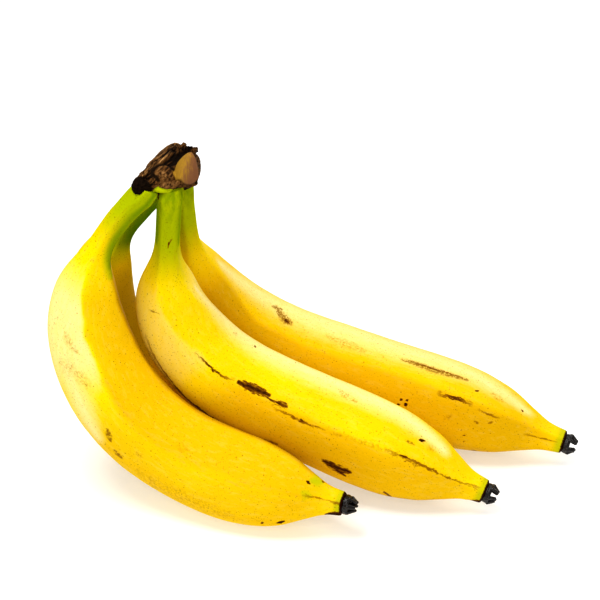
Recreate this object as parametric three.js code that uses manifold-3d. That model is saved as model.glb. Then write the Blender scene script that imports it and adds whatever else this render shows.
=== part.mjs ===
// A hand of four bananas joined at a dry, woody crown, lying as it rests on a table.
// Millimetres, +Z up. The fingers hang down from the crown and bend until their tips point along +X.
// The front of the hand faces -Y. The origin is on the table, under the middle of the whole hand.

import * as THREE from 'three';
import { mergeVertices } from 'three/addons/utils/BufferGeometryUtils.js';
import Module from 'manifold-3d';

// Driving dimensions of the whole hand
const CROWN_HEIGHT = 133.2;   // where the necks meet the crown, above the table
const BODY_RADIUS = 17.6;     // from a finger's middle line to a flat of its fullest part
const JOINT_GAP = 0.3;        // clearance between pieces that grew together
const SIDES = 5;              // flats round a finger, with a ridge between each two

// How finely the solids are faceted
const STATIONS = 36;          // steps along a finger
const AROUND = 20;            // points round a finger, a whole number for each flat
const CURVE_STEPS = 8;        // steps of the middle line in each station
const NECK_STATIONS = 10;     // stations from the end of the root to below the crown

// Girth along a finger: share of its length, then share of BODY_RADIUS.
// It runs from the slim neck over the shoulder and the full body to the bottle-shaped tip.
const GIRTH = [
  [0.00, 0.28], [0.06, 0.25], [0.16, 0.30], [0.25, 0.68], [0.34, 0.90], [0.48, 1.01],
  [0.65, 1.01], [0.80, 0.98], [0.88, 0.77], [0.94, 0.47], [1.00, 0.26],
];

// The shares of the length between which the ridges twist from the neck to the body
const TWIST = [0.12, 0.42];

// How sharp the ridges are along a finger: soft on the neck and the ripe body, angular at the tip.
const SHARPNESS = [[0.00, 4.2], [0.25, 4.8], [0.50, 4.4], [0.80, 4.8], [0.92, 6.5], [1.00, 6.5]];

// The four fingers. Angles are in degrees.
//   start    where the neck leaves the crown, from the middle of the crown's underside
//   lean     tilt of the finger's own plane, towards the front of the hand where it is positive
//   turn     swing of the tip towards the front
//   heading  direction at the neck and at the tip: 0 is straight down, 90 is along +X
//   bend     the shares of the length between which it bends from one heading to the other
//   length   along the middle line
//   girth    thickness against the other fingers
//   ridge    where a ridge stands at the neck and on the body, from the outer curve towards the front
//   root     how far the neck runs on into the crown
const FINGERS = [
  {
    name: 'front', start: [-4.7, -14.9, 4.3], lean: 1, turn: -2, heading: [-46, 88],
    bend: [-0.09, 0.91], length: 209.5, girth: 0.98, ridge: [-8, 48], root: 3,
  },
  {
    name: 'middle', start: [4.2, -8.6, 3.7], lean: -14.3, turn: 0, heading: [-10.5, 73],
    bend: [0.15, 0.61], length: 220.5, girth: 1.00, ridge: [10, 66], root: 6,
  },
  {
    name: 'back', start: [-2.3, 13.8, -5.5], lean: -25.4, turn: 0, heading: [-7.5, 78],
    bend: [0.14, 0.59], length: 244, girth: 1.00, ridge: [43, 21], root: 4.5,
  },
  {
    name: 'inner', start: [-9.3, 5.7, -6.0], lean: -10.6, turn: -4, heading: [-37.8, 78],
    bend: [0.08, 0.93], length: 178.5, girth: 0.84, ridge: [30, 55], root: 4,
  },
];

// The dry blossom end on each tip
const BLOSSOM_RADIUS = 4.3;
const BLOSSOM_LOBES = 6;
const LOBE_RADIUS = 1.5;

// The woody pad of the crown, station by station from the front end to the back end:
// y, then the middle of the section in x and z, then half its width and half its height.
const PAD = [
  [-20.0, -4.5, 8.8, 1.8, 1.8], [-17.4, -4.2, 8.8, 3.7, 3.7], [-9.0, -1.0, 9.4, 6.4, 5.0],
  [0.0, 0.2, 7.6, 9.0, 7.6], [9.0, -0.4, 5.5, 9.0, 9.5], [16.0, -1.4, 4.2, 7.4, 8.8],
  [19.5, -1.2, 3.6, 3.6, 4.4],
];
const PAD_STEPS = 4;          // sections between two stations
const PAD_AROUND = 28;
const GROOVE_ANGLE = 75;      // the split along the top of the pad, from +X towards +Z
const GROOVE_WIDTH = 26;
const GROOVE_DEPTH = 0.26;    // share of the pad's section
const FIBRE_RIDGES = 11;      // woody ribs that run along the pad
const FIBRE_HEIGHT = 0.035;

const ROOT_TAPER = 0.8;       // how slim a neck becomes where it ends inside the crown
const ROOT_STEPS = 2;

// Knuckles over the middle and the inner neck, with a lip on the first, and the fold of peel
// between the front and the middle neck
const KNUCKLES = [
  { middle: [0.8, -8.6, 10.4], size: [6.0, 5.4, 3.7] },
  { middle: [4.0, -8.7, 8.8], size: [6.3, 6.1, 1.7] },
  { middle: [-6.2, 5.0, -0.6], size: [5.4, 6.0, 5.2] },
  { middle: [1.8, -12.0, 7.2], size: [5.2, 3.3, 1.8] },
];

// The dry scale on the +X side, a pointed bud with a creased section, and the crumbs on the back end
const SCALE = { middle: [9.9, -4.4, 13.9], size: [5.2, 5.5, 7.0], tilt: 14 };
const SCALE_PROFILE = [[0, -1], [0.86, -0.95], [1.06, -0.72], [0.93, -0.15], [0.62, 0.42], [0.29, 0.82], [0, 1]];
const SCALE_CREASE = 1.35;    // 2 is a round section, 1 is a square one that stands on its corner
const SCALE_AROUND = 16;
const CRUMBS = [[2.2, 14.6, 12.2, 2.0], [4.8, 13.4, 12.4, 1.7], [-0.4, 16.0, 11.6, 1.8], [5.2, 11.0, 13.0, 1.4]];

const PEEL = { color: 0xf2c80f, roughness: 0.45, metalness: 0 };
const WOOD = { color: 0x4a3018, roughness: 0.85, metalness: 0 };
const CHAR = { color: 0x17120d, roughness: 0.6, metalness: 0 };

const wasm = await Module();
wasm.setup();

const radians = THREE.MathUtils.degToRad;
const crownPoint = (x, y, z) => new THREE.Vector3(x, y, z + CROWN_HEIGHT);

// Smooth curve through a list of [place, value] knots.
function through(knots, place) {
  const last = knots.length - 1;
  const slope = (i) => {
    const [before, after] = [knots[Math.max(i - 1, 0)], knots[Math.min(i + 1, last)]];
    return (after[1] - before[1]) / (after[0] - before[0]);
  };
  let i = 0;
  while (i < last - 1 && place >= knots[i + 1][0]) i++;
  const width = knots[i + 1][0] - knots[i][0];
  const t = (place - knots[i][0]) / width;
  const rise = t * t * (3 - 2 * t);
  const ease = t * (1 - t) * width * ((1 - t) * slope(i) - t * slope(i + 1));
  return knots[i][1] * (1 - rise) + knots[i + 1][1] * rise + ease;
}

// Closed surface through rings of points, with a flat fan over each end.
function loft(rings) {
  const around = rings[0].length;
  const points = rings.flat();
  const faces = [];
  for (let ring = 0; ring + 1 < rings.length; ring++) {
    for (let i = 0; i < around; i++) {
      const here = ring * around + i;
      const beside = ring * around + (i + 1) % around;
      faces.push(here, here + around, beside, beside, here + around, beside + around);
    }
  }
  for (const end of [0, rings.length - 1]) {
    const hub = points.length;
    const total = rings[end].reduce((sum, point) => sum.add(point), new THREE.Vector3());
    points.push(total.divideScalar(around));
    for (let i = 0; i < around; i++) {
      const here = end * around + i;
      const beside = end * around + (i + 1) % around;
      faces.push(...(end === 0 ? [hub, here, beside] : [hub, beside, here]));
    }
  }
  const geometry = new THREE.BufferGeometry().setFromPoints(points);
  geometry.setIndex(faces);
  return geometry;
}

// A closed geometry as a solid that can be joined and cut.
function solid(geometry) {
  const bare = geometry.clone();
  bare.deleteAttribute('normal');
  bare.deleteAttribute('uv');
  const merged = mergeVertices(bare, 1e-4);
  return new wasm.Manifold(new wasm.Mesh({
    numProp: 3,
    vertProperties: new Float32Array(merged.attributes.position.array),
    triVerts: new Uint32Array(merged.index.array),
  }));
}

function mesh(name, body, look) {
  const { vertProperties, triVerts } = body.getMesh();
  const geometry = new THREE.BufferGeometry();
  geometry.setAttribute('position', new THREE.BufferAttribute(new Float32Array(vertProperties), 3));
  geometry.setIndex(new THREE.BufferAttribute(new Uint32Array(triVerts), 1));
  geometry.computeVertexNormals();
  const result = new THREE.Mesh(geometry, new THREE.MeshStandardMaterial(look));
  result.name = name;
  return result;
}

// The middle line of a finger from its root in the crown to its tip:
// at each station its place, its direction, the ways to its outer curve and its front, and its taper.
function middleLine(finger) {
  const lean = radians(finger.lean);
  const turn = radians(finger.turn);
  const down = new THREE.Vector3(0, -Math.sin(lean), -Math.cos(lean));
  const along = new THREE.Vector3(1, 0, 0);
  const side = new THREE.Vector3().crossVectors(down, along);
  const sweep = along.multiplyScalar(Math.cos(turn)).addScaledVector(side, Math.sin(turn));
  const front = new THREE.Vector3().crossVectors(down, sweep);
  const headingAt = (share) => {
    const bent = THREE.MathUtils.smoothstep(share, ...finger.bend);
    return radians(THREE.MathUtils.lerp(...finger.heading, bent));
  };
  const mix = (a, b) => down.clone().multiplyScalar(a).addScaledVector(sweep, b);
  const steps = STATIONS * CURVE_STEPS;
  const place = crownPoint(...finger.start);
  const line = [];
  for (let step = 0; step <= steps; step++) {
    const heading = headingAt(step / steps);
    if (step % CURVE_STEPS === 0) {
      const forward = mix(Math.cos(heading), Math.sin(heading));
      const outer = mix(Math.sin(heading), -Math.cos(heading));
      line.push({ share: step / steps, place: place.clone(), forward, outer, front, taper: 1 });
    }
    const halfway = headingAt((step + 0.5) / steps);
    place.addScaledVector(mix(Math.cos(halfway), Math.sin(halfway)), finger.length / steps);
  }
  const neck = line[0];
  for (let step = 1; step <= ROOT_STEPS; step++) {
    const depth = step / ROOT_STEPS;
    const rooted = neck.place.clone().addScaledVector(neck.forward, -depth * finger.root);
    line.unshift({ ...neck, place: rooted, taper: THREE.MathUtils.lerp(1, ROOT_TAPER, depth) });
  }
  return line;
}

// Distance from a finger's middle line to its skin; the angle is counted from a ridge.
function skinRadius(finger, share, angle) {
  const sharpness = through(SHARPNESS, share);
  let sum = 0;
  for (let flat = 0; flat < SIDES; flat++) {
    const facing = Math.cos(angle - (flat + 0.5) * 2 * Math.PI / SIDES);
    sum += Math.max(facing, 0) ** sharpness;
  }
  return BODY_RADIUS * finger.girth * through(GIRTH, share) * sum ** (-1 / sharpness);
}

// One ring of skin points round a station, grown outwards by the given amount.
function skinRing(finger, station, grown) {
  const twisted = THREE.MathUtils.smoothstep(station.share, ...TWIST);
  const ridge = radians(THREE.MathUtils.lerp(...finger.ridge, twisted));
  const ring = [];
  for (let i = 0; i < AROUND; i++) {
    const angle = i / AROUND * 2 * Math.PI;
    const turned = angle + ridge;
    const radius = skinRadius(finger, station.share, angle) * station.taper + grown;
    const point = station.place.clone();
    point.addScaledVector(station.outer, radius * Math.cos(turned));
    ring.push(point.addScaledVector(station.front, radius * Math.sin(turned)));
  }
  return ring;
}

// The table's top, as a block that flattens the spots a finger rests on.
const TABLE_SIZE = 800;
const TABLE_DEPTH = 60;
const table = solid(new THREE.BoxGeometry(TABLE_SIZE, TABLE_SIZE, TABLE_DEPTH)
  .translate(0, 0, -TABLE_DEPTH / 2));

function fingerBody(finger, line) {
  return solid(loft(line.map((station) => skinRing(finger, station, 0)))).subtract(table);
}

// The room that a neck needs in the crown: the neck itself, grown by the joint gap on all sides.
function neckRoom(finger, line) {
  const [end, ...rest] = line.slice(0, NECK_STATIONS);
  const place = end.place.clone().addScaledVector(end.forward, -JOINT_GAP);
  const stations = [{ ...end, place }, ...rest];
  return solid(loft(stations.map((station) => skinRing(finger, station, JOINT_GAP))));
}

// The woody pad: sections along Y with fine ribs and a split along the top.
function crownPad() {
  const column = (index) => PAD.map((station) => [station[0], station[index]]);
  const [middleX, middleZ, halfWidth, halfHeight] = [1, 2, 3, 4].map(column);
  const rings = [];
  const count = (PAD.length - 1) * PAD_STEPS;
  for (let step = 0; step <= count; step++) {
    const y = THREE.MathUtils.lerp(PAD[0][0], PAD[PAD.length - 1][0], step / count);
    const ring = [];
    for (let i = 0; i < PAD_AROUND; i++) {
      const angle = i / PAD_AROUND * 2 * Math.PI;
      const off = (THREE.MathUtils.radToDeg(angle) - GROOVE_ANGLE) / GROOVE_WIDTH;
      const groove = GROOVE_DEPTH * Math.exp(-off * off);
      const swell = 1 - groove + FIBRE_HEIGHT * Math.cos(FIBRE_RIDGES * angle);
      const x = through(middleX, y) + through(halfWidth, y) * swell * Math.cos(angle);
      const z = through(middleZ, y) + through(halfHeight, y) * swell * Math.sin(angle);
      ring.push(crownPoint(x, y, z));
    }
    rings.push(ring);
  }
  return solid(loft(rings));
}

// The knuckles, the scale and the crumbs stand on the pad's surface.
function knuckle({ middle, size }) {
  const geometry = new THREE.SphereGeometry(1, 14, 8).scale(...size);
  return solid(geometry.translate(...crownPoint(...middle).toArray()));
}

function crownScale() {
  const profile = SCALE_PROFILE.map(([out, up]) => new THREE.Vector2(out, up));
  const geometry = new THREE.LatheGeometry(profile, SCALE_AROUND).rotateX(Math.PI / 2);
  const points = geometry.attributes.position;
  for (let i = 0; i < points.count; i++) {
    const [x, y] = [points.getX(i), points.getY(i)];
    const round = Math.hypot(x, y);
    const creased = (Math.abs(x) ** SCALE_CREASE + Math.abs(y) ** SCALE_CREASE) ** (1 / SCALE_CREASE);
    const share = creased > 0 ? round / creased : 1;
    points.setXY(i, x * share, y * share);
  }
  geometry.scale(...SCALE.size).rotateY(radians(SCALE.tilt));
  return solid(geometry.translate(...crownPoint(...SCALE.middle).toArray()));
}

function crumb([x, y, z, radius]) {
  const geometry = new THREE.IcosahedronGeometry(radius, 0);
  return solid(geometry.translate(...crownPoint(x, y, z).toArray()));
}

function crownBody(lines) {
  const grown = [...KNUCKLES.map(knuckle), crownScale(), ...CRUMBS.map(crumb)];
  const whole = grown.reduce((sum, piece) => sum.add(piece), crownPad());
  return FINGERS.reduce((rest, finger, i) => rest.subtract(neckRoom(finger, lines[i])), whole);
}

// A blossom end stands on +Z: a shallow cup with a ring of curled lobes on its rim.
function blossomEnd(girth) {
  const radius = BLOSSOM_RADIUS * girth;
  const profile = [[0, 0], [0.92, 0], [1, 0.25], [0.92, 0.6], [0.62, 0.5], [0, 0.42]];
  const points = profile.map(([out, up]) => new THREE.Vector2(out * radius, up * radius));
  const cup = solid(new THREE.LatheGeometry(points, 2 * BLOSSOM_LOBES).rotateX(Math.PI / 2));
  let whole = cup;
  for (let i = 0; i < BLOSSOM_LOBES; i++) {
    const lobe = new THREE.SphereGeometry(LOBE_RADIUS, 6, 4).scale(0.85, 1.1, 1.35);
    lobe.translate(0.78 * radius, 0, 0.66 * radius).rotateZ(i / BLOSSOM_LOBES * 2 * Math.PI);
    whole = whole.add(solid(lobe));
  }
  return whole;
}

const hand = new THREE.Group();
const lines = FINGERS.map(middleLine);
FINGERS.forEach((finger, i) => {
  hand.add(mesh(`finger_${finger.name}`, fingerBody(finger, lines[i]), PEEL));
  const tip = lines[i].at(-1);
  const end = mesh(`blossom_end_${finger.name}`, blossomEnd(finger.girth), CHAR);
  end.position.copy(tip.place).addScaledVector(tip.forward, JOINT_GAP);
  end.quaternion.setFromUnitVectors(new THREE.Vector3(0, 0, 1), tip.forward);
  hand.add(end);
});
hand.add(mesh('crown', crownBody(lines), WOOD));

// Put the origin under the middle of the hand.
const middle = new THREE.Box3().setFromObject(hand, true).getCenter(new THREE.Vector3());
hand.position.set(-middle.x, -middle.y, 0);

const part = new THREE.Group();
part.name = 'hand_of_bananas';
part.add(hand);

export default part;
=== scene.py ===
"""Looks of a hand of bananas: fine skin with its ridges, green necks and ripening marks, painted highlights
and painted shade on the peel, the dry crown and the black blossom ends. Lengths are in millimetres and
angles in degrees until a mesh is made."""
import math

import bpy
import numpy as np
from mathutils import Matrix, Vector, noise


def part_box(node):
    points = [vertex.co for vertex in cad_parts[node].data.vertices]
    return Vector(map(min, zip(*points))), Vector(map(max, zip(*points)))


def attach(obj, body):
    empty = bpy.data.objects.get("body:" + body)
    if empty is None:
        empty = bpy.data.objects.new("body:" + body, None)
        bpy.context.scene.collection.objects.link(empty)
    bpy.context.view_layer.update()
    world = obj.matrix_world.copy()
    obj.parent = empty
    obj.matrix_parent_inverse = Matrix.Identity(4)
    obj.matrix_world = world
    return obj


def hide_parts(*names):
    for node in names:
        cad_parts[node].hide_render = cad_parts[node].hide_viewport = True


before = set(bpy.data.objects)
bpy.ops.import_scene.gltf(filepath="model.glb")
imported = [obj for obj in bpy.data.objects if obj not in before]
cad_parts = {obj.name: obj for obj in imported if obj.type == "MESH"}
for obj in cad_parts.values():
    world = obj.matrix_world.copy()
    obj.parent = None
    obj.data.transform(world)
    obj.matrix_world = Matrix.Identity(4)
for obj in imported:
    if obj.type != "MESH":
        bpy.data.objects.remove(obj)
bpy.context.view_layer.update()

MM = 0.001

# The fingers have the solids' curves, with crisper ridges and slightly slimmer tips. Their girth, as a part
# of the body's radius, and the ridges' sharpness go with the share of the length from neck to tip.
BODY_RADIUS = 17.6
SIDES = 5
FLAT_ANGLE = 360 / SIDES
GIRTH = [
    (0.00, 0.28), (0.06, 0.25), (0.16, 0.30), (0.25, 0.68), (0.34, 0.90), (0.48, 1.01),
    (0.65, 1.01), (0.80, 0.98), (0.88, 0.77), (0.935, 0.475), (0.965, 0.325), (1.00, 0.26),
]
SHARPNESS = [(0.00, 8.5), (0.14, 8.5), (0.25, 5.5), (0.50, 4.6), (0.80, 5.6), (0.92, 8.0), (1.00, 7.0)]

# Each finger: where its neck starts, how its plane leans and turns there, its first and last heading and
# the shares between which it bends, its first and last ridge angle, and its neck's depth in the crown.
# The ridges twist from the first angle to the last between two shares.
FINGERS = {
    "front": dict(
        start=(-4.7, -14.9, 4.3), lean=1, turn=-2, heading=(-46, 88), bend=(-0.09, 0.91),
        length=209.5, girth=0.98, ridge=(23, 48), root=5,
    ),
    "middle": dict(
        start=(4.2, -8.6, 3.7), lean=-14.3, turn=0, heading=(-10.5, 73), bend=(0.15, 0.61),
        length=220.5, girth=1.00, ridge=(10, 66), root=4.5,
    ),
    "back": dict(
        start=(-2.3, 13.8, -5.5), lean=-25.4, turn=0, heading=(-7.5, 78), bend=(0.14, 0.59),
        length=244, girth=1.00, ridge=(43, 21), root=6,
    ),
    "inner": dict(
        start=(-9.3, 5.7, -6.0), lean=-10.6, turn=-4, heading=(-37.8, 78), bend=(0.08, 0.93),
        length=178.5, girth=0.84, ridge=(30, 55), root=6,
    ),
}
TWIST = (0.12, 0.42)
ROOT_TAPER = 0.2
RIM_ROUNDING = 1.0

# Relief of the skin: its slow and quick waves, the crests of its ridges, and its sunken marks
SLOW_LENGTH = 21
SLOW_HEIGHT = 0.28
QUICK_LENGTH = 7
QUICK_HEIGHT = 0.09
CREST_WIDTH = 1.8
CREST_HEIGHT = 0.2
BRUISE_DEPTH = 0.2
SCUFF_DEPTH = 0.1

# How far apart the fingers lie in the skin's patterns, so that no two are alike
PATTERN_STEP = 400

# The crown's pad: sections along Y, with the middle's X and Z, half width and half height, and the split
# along its top
PAD = [
    (-20.0, -4.5, 8.8, 1.8, 1.8), (-17.4, -4.2, 8.8, 3.7, 3.7), (-9.0, -1.0, 9.4, 6.4, 5.0),
    (0.0, 0.2, 7.6, 9.0, 7.6), (9.0, -0.4, 5.5, 9.0, 9.5), (16.0, -1.4, 4.2, 7.4, 8.8),
    (19.5, -1.2, 3.6, 3.6, 4.4),
]
GROOVE_ANGLE = 75
GROOVE_WIDTH = 26
GROOVE_DEPTH = 0.26

# Lumps grown to the pad, each a middle and a size: two knuckles over the necks, a lip and a green fold under
# the front one, then a pointed dry scale and crumbs of wood, each a place and a radius
KNUCKLE = ((0.8, -8.6, 10.4), (6.0, 5.4, 3.7))
LIP = ((4.0, -8.7, 8.8), (6.3, 6.1, 1.7))
INNER_KNUCKLE = ((-6.2, 5.0, -0.6), (5.4, 6.0, 5.2))
FOLD = ((1.8, -12.0, 7.2), (5.2, 3.3, 1.8))
SCALE_MIDDLE = (9.9, -4.4, 13.9)
SCALE_SIZE = (5.2, 5.5, 7.0)
SCALE_TILT = 14
SCALE_PROFILE = [(0, -1), (0.86, -0.95), (1.06, -0.72), (0.93, -0.15), (0.62, 0.42), (0.29, 0.82), (0, 1)]
SCALE_CREASE = 1.35
CRUMBS = [(2.2, 14.6, 12.2, 2.0), (4.8, 13.4, 12.4, 1.7), (-0.4, 16.0, 11.6, 1.8), (5.2, 11.0, 13.0, 1.4)]

# Features of the crown's wood, by their angle round the pad from +X towards +Z and where they end along Y,
# then where the scale starts along X, the seam starts along Z and the lip's darker underside ends
CREST_ANGLE = 98
CREST_END = 13
BAND_EDGE = (98, 106)
BAND_END = (150, 175)
BURNT_ANGLE = 70
BESIDE_ANGLE = 86
BESIDE_END = 9
COLLAR_EDGE = (-17.0, -15.6)
UNDERSIDE = (25, 55)
SCALE_SIDE = (4.8, 5.8)
SEAM_SIDE = (9.5, 11.5)
LIP_TOP = 9.6

# Heights of the crown's relief, below 0 where it is sunken
FIBRE_RELIEF = 0.26
LUMP_RELIEF = 0.45
GRIT_RELIEF = 0.14
SPLIT_RELIEF = -0.35
CREST_RELIEF = 1.1
GROOVE_RELIEF = -1.6
BESIDE_RELIEF = -0.5
SEAM_RELIEF = -0.5
STREAK_RELIEF = 0.10

# A blossom end: a cup, as parts of its radius out and up, and lobes of a few beads each on its rim
BLOSSOM_RADIUS = 4.3
BLOSSOM_PROFILE = [
    (0.02, -0.32), (0.78, -0.32), (0.95, 0.0), (0.97, 0.25), (0.86, 0.5), (0.6, 0.42), (0.02, 0.36),
]
BLOSSOM_LOBES = 6
LOBE_BEADS = 4
LOBE_SIZE = 1.25
BEAD_SHAPE = (0.8, 0.8, 0.9)
JOINT_GAP = 0.3

# How fine the meshes are, and how fine the solids are
ALONG = 420
AROUND = 200
ROOT_RINGS = 6
PAD_RINGS = 60
PAD_AROUND = 96
SCALE_RINGS = 30
SCALE_AROUND = 40
CUP_AROUND = 36
CROWN_VOXEL = 0.27
BLOSSOM_VOXEL = 0.14
SOLID_ALONG = 36
SOLID_AROUND = 20

# The photographer's place: its direction and distance, the width seen from there, and where the picture's
# middle lies, to the right of the crown and below it
VIEW_AZIMUTH = 22
VIEW_ELEVATION = 30
VIEW_DISTANCE = 900
VIEW_WIDTH = 234
VIEW_ACROSS = 50.7
VIEW_DOWN = 42.9
SENSOR = 36

# The studio: a pale floor that glows a little, white surroundings, and lamps, each with its place along the
# camera's right, up and back, its width and its power
FLOOR_HALF = 3000
FLOOR_GREY = 0.62
FLOOR_GLOW = 0.32
SURROUNDINGS = 0.38
LAMPS = {
    "key": ((-240, 600, 580), 350, 3.9),
    "fill": ((-80, 60, 900), 300, 1.5),
    "rim": ((420, 620, 60), 500, 1.6),
}

# Colours as linear red, green and blue
WHITE = (1.0, 1.0, 1.0)
YELLOW = (0.92, 0.66, 0.002)
# Gold for painted shade on the flats and for random tone, ochre for painted shade, cream for painted
# highlights
GOLD_SHADE_AND_TONE = (0.77, 0.47, 0.001)
SHADE_OCHRE = (0.47, 0.28, 0.002)
CREAM_HIGHLIGHT_AND_TONE = (0.90, 0.78, 0.38)
MOTTLE = (0.74, 0.43, 0.001)
LIME = (0.42, 0.47, 0.002)
LEAF_GREEN = (0.12, 0.23, 0.003)
TAN = (0.44, 0.225, 0.003)
SCUFF = (0.28, 0.13, 0.002)
SPECK = (0.17, 0.072, 0.002)
BRUISE_EDGE = (0.22, 0.084, 0.001)
BRUISE = (0.034, 0.0065, 0.001)
GLOSS_TINT = (1.0, 0.86, 0.45)
CROWN_DARK = (0.010, 0.005, 0.002)
CROWN_BROWN = (0.15, 0.070, 0.020)
CROWN_TAN = (0.58, 0.345, 0.14)
SCALE_GOLD = (0.40, 0.235, 0.035)
SCALE_BROWN = (0.24, 0.115, 0.055)
CHAR_BLACK = (0.008, 0.005, 0.003)
CHAR_BROWN = (0.060, 0.038, 0.026)

# Painted light and shade on each finger's five flats, from its first ridge round, in its upper and its
# lower half: painted shade in deep gold at 1 and in ochre at 2, painted highlight in pale cream below 0
PAINTED_FLAT_LIGHT = {
    "front": [(-0.75, 0.6, 1.8, 0.3, -0.3), (0.6, 1.05, 1.8, 0.3, 0.2)],
    "middle": [(-0.3, 0.05, -0.4, 0.2, 0.4), (1.0, 0.5, -0.2, 0.3, 1.6)],
    "back": [(1.4, 1.3, 0.7, -0.2, 0.3), (1.3, 1.2, 0.8, -0.1, 0.4)],
    "inner": [(0.3, 0.3, 0.3, 0.3, 0.2), (0.9, 0.9, 0.9, 0.2, 0.2)],
}

# Where the painted light and shade of the flats come in below the neck, change from upper to lower, and
# weaken at the tip, as shares of the length, and how soft and how wavy their edges are, as parts of a flat
TONE_START = (0.17, 0.27)
TONE_CHANGE = (0.36, 0.54)
TONE_FALL = (0.92, 1.0)
TIP_TONE = 0.4
TONE_EDGE = (0.42, 0.58)
TONE_WAVE = 0.07

# How much further along than the others each neck has turned from green to yellow, as a share of its length
RIPENESS = {"front": 0.075, "middle": 0.005, "back": 0.02, "inner": -0.05}

# Specks in three sizes: how many in a millimetre, their largest size as a part of that spacing, and strength
SPECK_SIZES = [(0.42, 0.14, 0.70), (0.8, 0.20, 0.60), (1.5, 0.26, 0.55)]
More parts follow.
